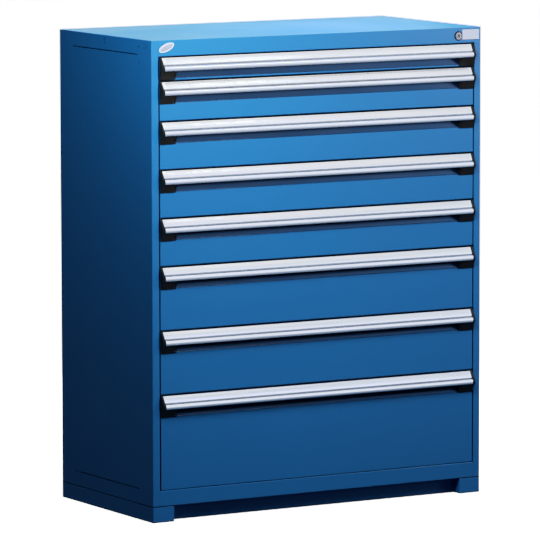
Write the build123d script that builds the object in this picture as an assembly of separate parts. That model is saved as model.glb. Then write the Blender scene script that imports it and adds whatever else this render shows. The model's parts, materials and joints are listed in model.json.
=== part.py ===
from build123d import *
import os
from math import cos, radians, sin

# Drawer cabinet: a welded sheet-steel housing on a low base, with eight drawers on roller slides.
# Millimetres, +Z up, front towards -Y. The origin is the centre of the overall box, on the floor.

# Overall size of the housing, and of the base that it stands on
HOUSING_WIDTH = 1219.2
HOUSING_DEPTH = 609.6
HOUSING_HEIGHT = 1473.2
BASE_HEIGHT = 50.8
HEADER_HEIGHT = 50.8
SILL_HEIGHT = 50.8
POST_WIDTH = 25.4
# Height that each drawer takes in the front opening, from the top down; one more drawer takes what is left
UPPER_DRAWER_PITCHES = [76.2, 127.0, 152.4, 152.4, 152.4, 203.2, 203.2]

# Sheet thicknesses and bends
HOUSING_SHEET = 1.5
BASE_SHEET = 2.0
DRAWER_SHEET = 1.2
RUNNER_SHEET = 1.5
BEND_RADIUS = 2.5
SEAM_CHAMFER = 2.0
SEAM_CHAMFER_SHEETS = 1.4
TOP_EDGE_CHAMFER = 1.0
TOP_EDGE_CHAMFER_SHEETS = 0.8

# Returns folded behind the front and back edges of the housing
POST_RETURN_GAP = 2.0
RAIL_RETURN = 20.0
BACK_RETURN = 20.0

# Long slit near each end of the side walls
SLIT_HEIGHT = 3.0
SLIT_FROM_END = 48.0
SLIT_FROM_EDGE = 92.0

# Base
FOOT_WIDTH = 76.2
FOOT_DEPTH = 38.1
BASE_FLANGE = 38.1
ANCHOR_HOLE_DIAMETER = 11.0
ANCHOR_FROM_EDGE = 100.0

# Slotted uprights that carry the slides
UPRIGHT_WIDTH = 40.0
UPRIGHT_DEPTH = 22.0
FRONT_UPRIGHT_INSET = 90.0
REAR_UPRIGHT_INSET = 90.0
HOOK_WIDTH = 12.0
HOOK_HEIGHT = 8.0
HOOK_DROP = 6.0
HOOK_CLEARANCE = 0.3

# Roller slides
RAIL_HEIGHT = 30.0
RAIL_DEPTH = 19.0
RAIL_ABOVE_PITCH = 32.0
SLIDE_FROM_FRONT = 36.0
SLIDE_FROM_BACK = 25.0
CARRIAGE_PLATE = 2.0
CARRIAGE_PLATE_HEIGHT = 36.0
CARRIAGE_END_PLAY = 2.5
SLIDE_GAP = 2.0
ROLLER_CLEARANCE = 0.3
ROLLER_SIDE_PLAY = 0.8
ROLLER_FROM_END = 1.5
ROLLER_SIDES = 12

# Drawer boxes
BOX_ABOVE_PITCH = 8.0
BOX_BELOW_PITCH = 10.0
BOX_RIM = 6.0
BOX_FROM_BACK = 22.0
DIVIDER_SLOTS = 4
DIVIDER_SLOT_WIDTH = 3.0
DIVIDER_SLOT_MARGIN = 9.0

# Drawer fronts
FRONT_SIDE_GAP = 4.0
FRONT_GAP = 3.0
FRONT_FOLD = 20.0
FRONT_EDGE_RADIUS = 1.5
FRONT_LAP = 7.0

# Pull: an extruded section along the top of each front, given as distance forward and distance down
PULL_REACH = 23.0
PULL_HEIGHT = 43.5
PULL_SLOPE_REACH = 14.0
PULL_SLOPE_DROP = 23.0
PULL_GROOVE_DEPTH = 1.6
PULL_GROOVE_HEIGHT = 3.0
PULL_BELOW_GROOVE_REACH = 15.0
PULL_WALL = 2.2
PULL_CAVITY_DROP = 8.8
PULL_LEG_ABOVE_END = 5.0
PULL_NOSE_DROP = 36.0
PULL_LIP_ROUND = 2.1
PULL_TIP_ROUND = 0.6
PULL_THROAT_ROUND = 1.4

# Moulded ends that close the pull and fill the corner under it
END_WIDTH = 6.0
END_INSET = 0.5
END_NOSE_ROUND = 3.6
END_BLOCK_WIDTH = 50.0
END_BLOCK_REACH = 15.0
END_BLOCK_GAP = 0.5
END_BLOCK_LIP = 1.5
END_BLOCK_CHAMFER = 3.0
END_BELOW_MARGIN = 1.2

# Lock, and the bar that it lifts behind the right front post
LOCK_FROM_SIDE = 85.7
LOCK_BELOW_TOP = 27.3
LOCK_FLANGE_RADIUS = 12.0
LOCK_FLANGE_THICKNESS = 2.5
LOCK_BODY_RADIUS = 9.5
LOCK_BODY_LENGTH = 22.0
LOCK_BODY_SIDES = 12
LOCK_HOLE_CLEARANCE = 0.2
PLUG_RADIUS = 6.0
PLUG_CLEARANCE = 0.05
PLUG_PROUD = 0.8
KEYWAY_WIDTH = 3.0
KEYWAY_HEIGHT = 9.0
KEYWAY_DEPTH = 8.0
CAM_THICKNESS = 2.0
CAM_WIDTH = 10.0
CAM_PIN_RADIUS = 2.0
CAM_PIN_THROW = 7.0
CAM_PIN_ANGLE = 45.0
CAM_BAR_GAP = 1.0
BAR_THICKNESS = 3.0
BAR_CLEARANCE = 0.4
BAR_STRIP = 3.0
ARM_HEIGHT = 22.0
ARM_OVERRUN = 12.0
PIN_SLOT_CLEARANCE = 0.5
GUIDE_SHEET = 1.5
GUIDE_HEIGHT = 20.0
GUIDE_ABOVE_PITCH = 52.0
GUIDE_GRIP = 4.0
CATCH_THICKNESS = 2.5
CATCH_HEIGHT = 16.0
CATCH_ABOVE_PITCH = 20.0
CATCH_NOTCH = 10.0
CATCH_HOOK = 5.0
CATCH_CLEARANCE = 1.0

# How far a cut runs past the face it starts from, and how near two coordinates count as the same
CUT_OVERRUN = 1.0
SAME_PLACE = 0.01

# Levels and planes that follow from the sizes above
TOP_Z = BASE_HEIGHT + HOUSING_HEIGHT
OPENING_BOTTOM = BASE_HEIGHT + SILL_HEIGHT
OPENING_TOP = TOP_Z - HEADER_HEIGHT
DRAWER_PITCHES = UPPER_DRAWER_PITCHES + [OPENING_TOP - OPENING_BOTTOM - sum(UPPER_DRAWER_PITCHES)]
SIDE_X = HOUSING_WIDTH / 2
OPENING_X = SIDE_X - POST_WIDTH
FRONT_Y = PULL_REACH - (HOUSING_DEPTH + PULL_REACH) / 2
BACK_Y = FRONT_Y + HOUSING_DEPTH

# Slides, from the side wall inwards
WALL_X = SIDE_X - HOUSING_SHEET
UPRIGHT_X = WALL_X - UPRIGHT_DEPTH
RAIL_X = UPRIGHT_X - RAIL_DEPTH
PLATE_X = RAIL_X - SLIDE_GAP - CARRIAGE_PLATE
CHANNEL_X = PLATE_X - SLIDE_GAP
BOX_X = CHANNEL_X - RAIL_DEPTH
SLIDE_START = FRONT_Y + SLIDE_FROM_FRONT
SLIDE_END = BACK_Y - SLIDE_FROM_BACK
POST_RETURN = SLIDE_FROM_FRONT - POST_RETURN_GAP
ROLLER_RADIUS = RAIL_HEIGHT / 2 - RUNNER_SHEET - ROLLER_CLEARANCE
ROLLER_WIDTH = SLIDE_GAP + RAIL_DEPTH - RUNNER_SHEET - ROLLER_SIDE_PLAY
UPRIGHT_YS = [FRONT_Y + FRONT_UPRIGHT_INSET, BACK_Y - REAR_UPRIGHT_INSET]

# Fronts and boxes
FRONT_X = OPENING_X - FRONT_SIDE_GAP
BOX_START = FRONT_Y + FRONT_FOLD
BOX_END = BACK_Y - BOX_FROM_BACK
PITCH_FLOORS = [OPENING_TOP - sum(DRAWER_PITCHES[: n + 1]) for n in range(len(DRAWER_PITCHES))]
END_DROP = min(DRAWER_PITCHES) - FRONT_GAP - END_BELOW_MARGIN
PULL_LEG_DROP = END_DROP - PULL_LEG_ABOVE_END

# Lock and bar
LOCK_X = SIDE_X - LOCK_FROM_SIDE
LOCK_Z = TOP_Z - LOCK_BELOW_TOP
PLUG_END = FRONT_Y + LOCK_BODY_LENGTH
CAM_END = PLUG_END + CAM_THICKNESS
BAR_START = CAM_END + CAM_BAR_GAP
BAR_END = BAR_START + BAR_THICKNESS
PIN_DROP = CAM_PIN_THROW * sin(radians(CAM_PIN_ANGLE))
BAR_OUTER_X = OPENING_X - GUIDE_SHEET - BAR_CLEARANCE
BAR_INNER_X = PLATE_X + CARRIAGE_PLATE + SLIDE_GAP
WINDOW_X = BAR_INNER_X + BAR_STRIP
CATCH_X = WINDOW_X + CATCH_CLEARANCE
WINDOW_WIDTH = CATCH_THICKNESS + 2 * CATCH_CLEARANCE
ARM_BOTTOM = LOCK_Z - PIN_DROP - ARM_HEIGHT / 2


def block(x0, x1, y0, y1, z0, z1):
    """A box between two values along each axis."""
    return Pos((x0 + x1) / 2, (y0 + y1) / 2, (z0 + z1) / 2) * Box(x1 - x0, y1 - y0, z1 - z0)


def section(points, x0, x1):
    """A closed outline of (y, z) points, carried along X."""
    face = Plane.YZ.offset(x0) * make_face(Polyline(*points, close=True))
    return extrude(face, x1 - x0)


def profile(points, y0, y1):
    """A closed outline of (x, z) points, carried along Y."""
    face = Plane.XZ.offset(-y1) * make_face(Polyline(*points, close=True))
    return extrude(face, y1 - y0)


def cylinder_y(x, z, radius, y0, y1):
    """A round bar along Y."""
    return extrude(Plane.XZ.offset(-y1) * Pos(x, z) * Circle(radius), y1 - y0)


def roller(y, z, x0, x1):
    """A roller along X, as a many-sided wheel with a flat at its top and at its foot."""
    outline = RegularPolygon(ROLLER_RADIUS, ROLLER_SIDES, major_radius=False, rotation=180 / ROLLER_SIDES)
    return extrude(Plane.YZ.offset(x0) * Pos(y, z) * outline, x1 - x0)


def edges_at(part, along, **place):
    """The edges of a part that run along one axis at the given coordinates."""
    found = part.edges().filter_by(along)
    for name, value in place.items():
        found = found.filter_by(lambda e, n=name, v=value: abs(getattr(e.center(), n) - v) < SAME_PLACE)
    return found


def away_from(edges, axis, *places):
    """Those edges whose centres lie at none of the given coordinates along one axis."""
    return edges.filter_by(lambda e: min(abs(getattr(e.center(), axis) - v) for v in places) > SAME_PLACE)


def seam_chamfer(sheet):
    """Chamfer beside a seam, no deeper than a folded corner of that sheet allows."""
    return min(SEAM_CHAMFER, SEAM_CHAMFER_SHEETS * sheet)


def left_of(part):
    """The left-hand copy of a part that is modelled on the right."""
    return mirror(part, about=Plane.YZ)


def side_panel():
    """Right side wall: a pan whose front fold is the post, with a deeper return at the opening."""
    low, high = BASE_HEIGHT, TOP_Z - HOUSING_SHEET
    pan = block(OPENING_X, SIDE_X, FRONT_Y, BACK_Y, low, high)
    bends = edges_at(pan, Axis.Z, X=SIDE_X) + edges_at(pan, Axis.Z, X=OPENING_X, Y=FRONT_Y)
    pan = fillet(bends, BEND_RADIUS)
    pan = chamfer(away_from(pan.edges().group_by(Axis.Z)[0], "X", OPENING_X), seam_chamfer(HOUSING_SHEET))
    hollow = block(
        OPENING_X + HOUSING_SHEET, WALL_X,
        FRONT_Y + HOUSING_SHEET, BACK_Y - HOUSING_SHEET,
        low + HOUSING_SHEET, high - HOUSING_SHEET,
    )
    mouth = block(
        OPENING_X - CUT_OVERRUN, WALL_X,
        FRONT_Y + POST_RETURN, BACK_Y - HOUSING_SHEET,
        low + HOUSING_SHEET, high - HOUSING_SHEET,
    )
    pan = pan - hollow - mouth
    for level in (low + SLIT_FROM_END, TOP_Z - SLIT_FROM_END):
        pan -= block(
            WALL_X - CUT_OVERRUN, SIDE_X + CUT_OVERRUN,
            FRONT_Y + SLIT_FROM_EDGE, BACK_Y - SLIT_FROM_EDGE,
            level - SLIT_HEIGHT / 2, level + SLIT_HEIGHT / 2,
        )
    return pan


def top_panel():
    """Top sheet, folded down at the front into the header, with the hole for the lock."""
    sheet = block(-SIDE_X, SIDE_X, FRONT_Y, BACK_Y, TOP_Z - HOUSING_SHEET, TOP_Z)
    sheet = fillet(sheet.edges().filter_by(Axis.Z), BEND_RADIUS)
    header = block(
        -OPENING_X, OPENING_X,
        FRONT_Y, FRONT_Y + HOUSING_SHEET,
        OPENING_TOP, TOP_Z - HOUSING_SHEET,
    )
    fold = block(
        -OPENING_X, OPENING_X,
        FRONT_Y, FRONT_Y + RAIL_RETURN,
        OPENING_TOP, OPENING_TOP + HOUSING_SHEET,
    )
    panel = sheet + header + fold
    panel = fillet(edges_at(panel, Axis.X, Y=FRONT_Y, Z=OPENING_TOP), BEND_RADIUS)
    rim = panel.edges().group_by(Axis.Z)[-1]
    panel = chamfer(rim, min(TOP_EDGE_CHAMFER, TOP_EDGE_CHAMFER_SHEETS * HOUSING_SHEET))
    hole = LOCK_BODY_RADIUS + LOCK_HOLE_CLEARANCE
    behind = FRONT_Y + HOUSING_SHEET + CUT_OVERRUN
    return panel - cylinder_y(LOCK_X, LOCK_Z, hole, FRONT_Y - CUT_OVERRUN, behind)


def bottom_panel():
    """Floor of the housing, folded up at the front into the sill."""
    floor = block(-OPENING_X, OPENING_X, FRONT_Y, BACK_Y, BASE_HEIGHT, BASE_HEIGHT + HOUSING_SHEET)
    sill = block(-OPENING_X, OPENING_X, FRONT_Y, FRONT_Y + HOUSING_SHEET, BASE_HEIGHT, OPENING_BOTTOM)
    fold = block(
        -OPENING_X, OPENING_X,
        FRONT_Y, FRONT_Y + RAIL_RETURN,
        OPENING_BOTTOM - HOUSING_SHEET, OPENING_BOTTOM,
    )
    panel = floor + sill + fold
    panel = fillet(edges_at(panel, Axis.X, Y=FRONT_Y, Z=OPENING_BOTTOM), BEND_RADIUS)
    seam = edges_at(panel, Axis.X, Y=FRONT_Y, Z=BASE_HEIGHT)
    return chamfer(seam, seam_chamfer(HOUSING_SHEET))


def back_panel():
    """Back sheet inside the rear folds of the side walls, with a fold under the top and on the floor."""
    face = BACK_Y - HOUSING_SHEET
    low = BASE_HEIGHT + HOUSING_SHEET
    high = TOP_Z - HOUSING_SHEET
    sheet = block(-WALL_X, WALL_X, face - HOUSING_SHEET, face, low, high - HOUSING_SHEET)
    top_fold = block(-OPENING_X, OPENING_X, face - BACK_RETURN, face, high - HOUSING_SHEET, high)
    floor_fold = block(-OPENING_X, OPENING_X, face - BACK_RETURN, face, low, low + HOUSING_SHEET)
    return sheet + top_fold + floor_fold


def base_side():
    """Right rail of the base: a channel on its side, with the front foot folded across its end."""
    rail = block(SIDE_X - BASE_FLANGE, SIDE_X, FRONT_Y, BACK_Y, 0, BASE_HEIGHT)
    rail += block(SIDE_X - FOOT_WIDTH, SIDE_X, FRONT_Y, FRONT_Y + FOOT_DEPTH, 0, BASE_HEIGHT)
    bends = edges_at(rail, Axis.Z, X=SIDE_X) + edges_at(rail, Axis.Z, X=SIDE_X - FOOT_WIDTH, Y=FRONT_Y)
    rail = fillet(bends, BEND_RADIUS)
    seam = away_from(rail.edges().group_by(Axis.Z)[-1], "X", SIDE_X - BASE_FLANGE, SIDE_X - FOOT_WIDTH)
    rail = chamfer(away_from(seam, "Y", FRONT_Y + FOOT_DEPTH), seam_chamfer(BASE_SHEET))
    low, high = BASE_SHEET, BASE_HEIGHT - BASE_SHEET
    inside = SIDE_X - BASE_SHEET
    rail -= block(
        SIDE_X - BASE_FLANGE - CUT_OVERRUN, inside,
        FRONT_Y + FOOT_DEPTH, BACK_Y - BASE_SHEET,
        low, high,
    )
    rail -= block(
        SIDE_X - FOOT_WIDTH + BASE_SHEET, inside,
        FRONT_Y + BASE_SHEET, FRONT_Y + FOOT_DEPTH,
        low, high,
    )
    hole = Cylinder(ANCHOR_HOLE_DIAMETER / 2, 2 * BASE_SHEET)
    for y in (FRONT_Y + ANCHOR_FROM_EDGE, BACK_Y - ANCHOR_FROM_EDGE):
        rail -= Pos(SIDE_X - BASE_FLANGE / 2, y, BASE_SHEET / 2) * hole
    return rail


def base_front_panel():
    """Recessed toe panel between the front feet."""
    reach = SIDE_X - FOOT_WIDTH
    face = FRONT_Y + FOOT_DEPTH - BASE_SHEET
    panel = block(-reach, reach, face, face + RAIL_RETURN, 0, BASE_HEIGHT)
    return panel - block(
        -reach - CUT_OVERRUN, reach + CUT_OVERRUN,
        face + BASE_SHEET, face + RAIL_RETURN + CUT_OVERRUN,
        BASE_SHEET, BASE_HEIGHT - BASE_SHEET,
    )


def base_rear_panel():
    """Rear rail of the base, a channel between the side rails."""
    reach = SIDE_X - BASE_FLANGE
    panel = block(-reach, reach, BACK_Y - RAIL_RETURN, BACK_Y, 0, BASE_HEIGHT)
    seam = edges_at(panel, Axis.X, Y=BACK_Y, Z=BASE_HEIGHT)
    panel = chamfer(seam, seam_chamfer(BASE_SHEET))
    return panel - block(
        -reach - CUT_OVERRUN, reach + CUT_OVERRUN,
        BACK_Y - RAIL_RETURN - CUT_OVERRUN, BACK_Y - BASE_SHEET,
        BASE_SHEET, BASE_HEIGHT - BASE_SHEET,
    )


def hook_level(pitch_floor):
    """Height of the lower edge of the slot that carries one slide."""
    return pitch_floor + RAIL_ABOVE_PITCH - HOOK_HEIGHT / 2


def uprights():
    """Two slotted channels on the right side wall, one slot for each slide."""
    low = BASE_HEIGHT + HOUSING_SHEET
    high = TOP_Z - 2 * HOUSING_SHEET
    found = []
    for y in UPRIGHT_YS:
        near, far = y - UPRIGHT_WIDTH / 2, y + UPRIGHT_WIDTH / 2
        channel = block(UPRIGHT_X, WALL_X, near, far, low, high)
        channel -= block(
            UPRIGHT_X + RUNNER_SHEET, WALL_X + CUT_OVERRUN,
            near + RUNNER_SHEET, far - RUNNER_SHEET,
            low - CUT_OVERRUN, high + CUT_OVERRUN,
        )
        half = HOOK_WIDTH / 2 + HOOK_CLEARANCE
        for pitch_floor in PITCH_FLOORS:
            foot = hook_level(pitch_floor)
            channel -= block(
                UPRIGHT_X - CUT_OVERRUN, UPRIGHT_X + RUNNER_SHEET + CUT_OVERRUN,
                y - half, y + half,
                foot, foot + HOOK_HEIGHT + HOOK_CLEARANCE,
            )
        found.append(channel)
    return found


def fixed_rails():
    """Right-hand cabinet rails: channels open to the inside, each hooked into both uprights."""
    found = []
    web = UPRIGHT_X - RUNNER_SHEET
    behind = UPRIGHT_X + RUNNER_SHEET + HOOK_CLEARANCE
    for pitch_floor in PITCH_FLOORS:
        centre = pitch_floor + RAIL_ABOVE_PITCH
        low, high = centre - RAIL_HEIGHT / 2, centre + RAIL_HEIGHT / 2
        rail = profile(
            [
                (UPRIGHT_X, low), (UPRIGHT_X, high),
                (RAIL_X, high), (RAIL_X, high - RUNNER_SHEET),
                (web, high - RUNNER_SHEET), (web, low + RUNNER_SHEET),
                (RAIL_X, low + RUNNER_SHEET), (RAIL_X, low),
            ],
            SLIDE_START, SLIDE_END,
        )
        foot = hook_level(pitch_floor)
        hook = [
            (UPRIGHT_X, foot), (behind, foot), (behind, foot - HOOK_DROP),
            (behind + RUNNER_SHEET, foot - HOOK_DROP),
            (behind + RUNNER_SHEET, foot + HOOK_HEIGHT), (UPRIGHT_X, foot + HOOK_HEIGHT),
        ]
        for y in UPRIGHT_YS:
            rail += profile(hook, y - HOOK_WIDTH / 2, y + HOOK_WIDTH / 2)
        found.append(rail)
    return found


def carriage(pitch_floor):
    """Right-hand intermediate member: a plate, two rollers in the fixed rail and two in the drawer's."""
    centre = pitch_floor + RAIL_ABOVE_PITCH
    start, end = SLIDE_START + CARRIAGE_END_PLAY, SLIDE_END - CARRIAGE_END_PLAY
    middle = (start + end) / 2
    half = CARRIAGE_PLATE_HEIGHT / 2
    outer_face = PLATE_X + CARRIAGE_PLATE
    step = ROLLER_RADIUS + ROLLER_FROM_END
    found = [block(PLATE_X, outer_face, start, end, centre - half, centre + half)]
    for y in (middle + step, end - step):
        found.append(roller(y, centre, outer_face, outer_face + ROLLER_WIDTH))
    for y in (start + step, middle - step):
        found.append(roller(y, centre, PLATE_X - ROLLER_WIDTH, PLATE_X))
    return found


def drawer_runner(pitch_floor):
    """Right-hand runner of a drawer: a channel on the box side, open to the outside."""
    centre = pitch_floor + RAIL_ABOVE_PITCH
    low, high = centre - RAIL_HEIGHT / 2, centre + RAIL_HEIGHT / 2
    web = BOX_X + RUNNER_SHEET
    return profile(
        [
            (BOX_X, low), (CHANNEL_X, low), (CHANNEL_X, low + RUNNER_SHEET),
            (web, low + RUNNER_SHEET), (web, high - RUNNER_SHEET),
            (CHANNEL_X, high - RUNNER_SHEET), (CHANNEL_X, high), (BOX_X, high),
        ],
        SLIDE_START, SLIDE_END,
    )


def drawer_tray(pitch_floor, pitch):
    """Open steel box with an outward rim along both sides and slots for dividers in its rear wall."""
    low = pitch_floor + BOX_ABOVE_PITCH
    high = pitch_floor + pitch - BOX_BELOW_PITCH
    tray = block(-BOX_X, BOX_X, BOX_START, BOX_END, low, high)
    for side in (-1, 1):
        tray += block(
            min(side * BOX_X, side * (BOX_X + BOX_RIM)), max(side * BOX_X, side * (BOX_X + BOX_RIM)),
            SLIDE_START, BOX_END,
            high - DRAWER_SHEET, high,
        )
    tray -= block(
        -BOX_X + DRAWER_SHEET, BOX_X - DRAWER_SHEET,
        BOX_START + DRAWER_SHEET, BOX_END - DRAWER_SHEET,
        low + DRAWER_SHEET, high + CUT_OVERRUN,
    )
    for n in range(DIVIDER_SLOTS):
        x = BOX_X * (2 * (n + 1) / (DIVIDER_SLOTS + 1) - 1)
        tray -= block(
            x - DIVIDER_SLOT_WIDTH / 2, x + DIVIDER_SLOT_WIDTH / 2,
            BOX_END - DRAWER_SHEET - CUT_OVERRUN, BOX_END + CUT_OVERRUN,
            low + DIVIDER_SLOT_MARGIN, high - DIVIDER_SLOT_MARGIN,
        )
    return tray


def drawer_box(pitch_floor, pitch):
    """A drawer's tray with its two runners."""
    runner = drawer_runner(pitch_floor)
    return [drawer_tray(pitch_floor, pitch), runner, left_of(runner)]


def drawer_catch(pitch_floor):
    """Hook behind the front that passes through the lock bar's window."""
    low = pitch_floor + CATCH_ABOVE_PITCH
    high = low + CATCH_HEIGHT
    start = FRONT_Y + DRAWER_SHEET
    near, far = BAR_START - CATCH_CLEARANCE, BAR_END + CATCH_CLEARANCE
    return section(
        [
            (start, low), (near, low), (near, low + CATCH_NOTCH), (far, low + CATCH_NOTCH),
            (far, low), (far + CATCH_HOOK, low), (far + CATCH_HOOK, high), (start, high),
        ],
        CATCH_X, CATCH_X + CATCH_THICKNESS,
    )


def drawer_front(pitch_floor, pitch):
    """Folded front of a drawer, lapped onto the box above and below, and its lock catch."""
    low = pitch_floor + FRONT_GAP / 2
    high = pitch_floor + pitch - FRONT_GAP / 2
    pan = block(-FRONT_X, FRONT_X, FRONT_Y, BOX_START, low, high)
    bends = pan.edges().group_by(Axis.Y)[0]
    pan = fillet(bends, FRONT_EDGE_RADIUS)
    inside = FRONT_X - DRAWER_SHEET
    pan -= block(
        -inside, inside,
        FRONT_Y + DRAWER_SHEET, BOX_START - DRAWER_SHEET,
        low + DRAWER_SHEET, high - DRAWER_SHEET,
    )
    pan -= block(
        -inside, inside,
        BOX_START - DRAWER_SHEET - CUT_OVERRUN, BOX_START + CUT_OVERRUN,
        pitch_floor + BOX_ABOVE_PITCH + FRONT_LAP, pitch_floor + pitch - BOX_BELOW_PITCH - FRONT_LAP,
    )
    return [pan, drawer_catch(pitch_floor)]


def down(reach, drop, top):
    """A point of the pull's section, from its reach forward and its drop from the top."""
    return (FRONT_Y - reach, top - drop)


def pull_outline(top):
    """Section of the pull: a sloping label band, a groove, a lip that fingers go behind, and a back leg."""
    throat = PULL_REACH - 2 * PULL_WALL
    groove_reach = PULL_SLOPE_REACH - PULL_GROOVE_DEPTH
    groove_foot = PULL_SLOPE_DROP + PULL_GROOVE_HEIGHT
    slope = [
        down(0, 0, top),
        down(PULL_SLOPE_REACH, PULL_SLOPE_DROP, top),
        down(groove_reach, PULL_SLOPE_DROP + PULL_GROOVE_DEPTH / 2, top),
        down(groove_reach, groove_foot, top),
        down(PULL_BELOW_GROOVE_REACH, groove_foot + PULL_GROOVE_DEPTH / 2, top),
    ]
    nose = down(PULL_REACH, PULL_NOSE_DROP, top)
    tip = [
        down(PULL_REACH - PULL_WALL, PULL_HEIGHT, top),
        down(throat, PULL_HEIGHT, top),
        down(throat, PULL_NOSE_DROP, top),
    ]
    leg = [
        down(PULL_SLOPE_REACH, groove_foot + 2 * PULL_WALL, top),
        down(PULL_WALL, PULL_CAVITY_DROP, top),
        down(PULL_WALL, PULL_LEG_DROP, top),
        down(0, PULL_LEG_DROP, top),
        down(0, 0, top),
    ]
    return [
        Polyline(*slope),
        SagittaArc(slope[-1], nose, -PULL_LIP_ROUND),
        SagittaArc(nose, tip[0], -PULL_TIP_ROUND),
        Polyline(*tip),
        SagittaArc(tip[-1], leg[0], PULL_THROAT_ROUND),
        Polyline(*leg),
    ]


def drawer_pull(pitch_floor, pitch):
    """The extruded pull of one drawer, between its moulded ends."""
    top = pitch_floor + pitch - FRONT_GAP / 2
    reach = FRONT_X - END_INSET - END_WIDTH
    face = make_face(Curve() + pull_outline(top))
    return extrude(Plane.YZ.offset(-reach) * face, 2 * reach)


def pull_end(pitch_floor, pitch):
    """Right-hand moulded end: a plate over the pull's end, and a tapered block in front of its back leg."""
    top = pitch_floor + pitch - FRONT_GAP / 2
    block_top = PULL_HEIGHT + END_BLOCK_GAP
    leg_foot = PULL_LEG_DROP + END_BLOCK_GAP
    outer = FRONT_X - END_INSET
    slope = down(PULL_SLOPE_REACH, PULL_SLOPE_DROP, top)
    nose_low = down(END_BLOCK_REACH + END_BLOCK_LIP, block_top, top)
    plate = [
        Line(down(0, 0, top), slope),
        SagittaArc(slope, nose_low, -END_NOSE_ROUND),
        Polyline(nose_low, down(END_BLOCK_LIP, END_DROP, top), down(0, END_DROP, top), down(0, 0, top)),
    ]
    cap = extrude(Plane.YZ.offset(outer - END_WIDTH) * make_face(Curve() + plate), END_WIDTH)
    wedge = section(
        [
            down(0, block_top, top), down(END_BLOCK_REACH, block_top, top),
            down(END_BLOCK_LIP, END_DROP, top), down(0, END_DROP, top),
        ],
        outer - END_BLOCK_WIDTH, outer - END_WIDTH,
    )
    corner = wedge.edges().filter_by(Axis.Y, reverse=True).group_by(Axis.X)[0].sort_by(Axis.Y)[0]
    wedge = chamfer(corner, END_BLOCK_CHAMFER)
    wedge -= block(
        outer - END_BLOCK_WIDTH - CUT_OVERRUN, outer - END_WIDTH,
        FRONT_Y - PULL_WALL, FRONT_Y + CUT_OVERRUN,
        top - leg_foot, top - block_top + CUT_OVERRUN,
    )
    return cap + wedge


def lock_body():
    """Fixed barrel of the lock, with its flange on the header."""
    flange = cylinder_y(LOCK_X, LOCK_Z, LOCK_FLANGE_RADIUS, FRONT_Y - LOCK_FLANGE_THICKNESS, FRONT_Y)
    outline = Pos(LOCK_X, LOCK_Z) * RegularPolygon(LOCK_BODY_RADIUS, LOCK_BODY_SIDES)
    barrel = extrude(Plane.XZ.offset(-PLUG_END) * outline, PLUG_END - FRONT_Y)
    bore = PLUG_RADIUS + PLUG_CLEARANCE
    face = FRONT_Y - LOCK_FLANGE_THICKNESS
    return flange + barrel - cylinder_y(LOCK_X, LOCK_Z, bore, face - CUT_OVERRUN, PLUG_END + CUT_OVERRUN)


def lock_plug():
    """Turning core with an upright keyway."""
    face = FRONT_Y - LOCK_FLANGE_THICKNESS - PLUG_PROUD
    core = cylinder_y(LOCK_X, LOCK_Z, PLUG_RADIUS, face, PLUG_END)
    return core - block(
        LOCK_X - KEYWAY_WIDTH / 2, LOCK_X + KEYWAY_WIDTH / 2,
        face - CUT_OVERRUN, face + KEYWAY_DEPTH,
        LOCK_Z - KEYWAY_HEIGHT / 2, LOCK_Z + KEYWAY_HEIGHT / 2,
    )


def lock_cam():
    """Cam on the back of the plug, with the pin that lifts the bar."""
    lever = Rot(0, -CAM_PIN_ANGLE, 0) * block(
        -CAM_PIN_THROW - CAM_WIDTH / 2, PLUG_RADIUS,
        PLUG_END, CAM_END,
        -CAM_WIDTH / 2, CAM_WIDTH / 2,
    )
    lever = Pos(LOCK_X, 0, LOCK_Z) * lever
    pin_x = LOCK_X - CAM_PIN_THROW * cos(radians(CAM_PIN_ANGLE))
    return lever + cylinder_y(pin_x, LOCK_Z - PIN_DROP, CAM_PIN_RADIUS, CAM_END, BAR_END + CAM_BAR_GAP)


def lock_bar():
    """Bar with a window for each drawer's catch, and the slotted arm that the cam lifts."""
    foot = PITCH_FLOORS[-1] + CATCH_ABOVE_PITCH - CATCH_HEIGHT
    bar = block(BAR_INNER_X, BAR_OUTER_X, BAR_START, BAR_END, foot, ARM_BOTTOM)
    for pitch_floor in PITCH_FLOORS:
        low = pitch_floor + CATCH_ABOVE_PITCH - CATCH_CLEARANCE
        bar -= block(
            WINDOW_X, WINDOW_X + WINDOW_WIDTH,
            BAR_START - CUT_OVERRUN, BAR_END + CUT_OVERRUN,
            low, low + CATCH_HEIGHT + 2 * CATCH_CLEARANCE,
        )
    arm = block(
        LOCK_X - CAM_PIN_THROW - ARM_OVERRUN, BAR_OUTER_X,
        BAR_START, BAR_END,
        ARM_BOTTOM, ARM_BOTTOM + ARM_HEIGHT,
    )
    slot = CAM_PIN_RADIUS + PIN_SLOT_CLEARANCE
    arm -= block(
        LOCK_X - CAM_PIN_THROW - slot, LOCK_X - CAM_PIN_THROW + 2 * slot,
        BAR_START - CUT_OVERRUN, BAR_END + CUT_OVERRUN,
        LOCK_Z - PIN_DROP - slot, LOCK_Z - PIN_DROP + slot,
    )
    return [bar, arm]


def bar_guides():
    """Three clips on the post return that hold the bar's outer edge."""
    found = []
    near, far = BAR_START - BAR_CLEARANCE, BAR_END + BAR_CLEARANCE
    for pitch_floor in (PITCH_FLOORS[0], PITCH_FLOORS[len(PITCH_FLOORS) // 2], PITCH_FLOORS[-1]):
        low = pitch_floor + GUIDE_ABOVE_PITCH
        clip = block(
            OPENING_X - GUIDE_SHEET - GUIDE_GRIP, OPENING_X,
            near - GUIDE_SHEET, far + GUIDE_SHEET,
            low, low + GUIDE_HEIGHT,
        )
        clip -= block(
            OPENING_X - GUIDE_SHEET - GUIDE_GRIP - CUT_OVERRUN, OPENING_X - GUIDE_SHEET,
            near, far,
            low - CUT_OVERRUN, low + GUIDE_HEIGHT + CUT_OVERRUN,
        )
        found.append(clip)
    return found


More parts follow.
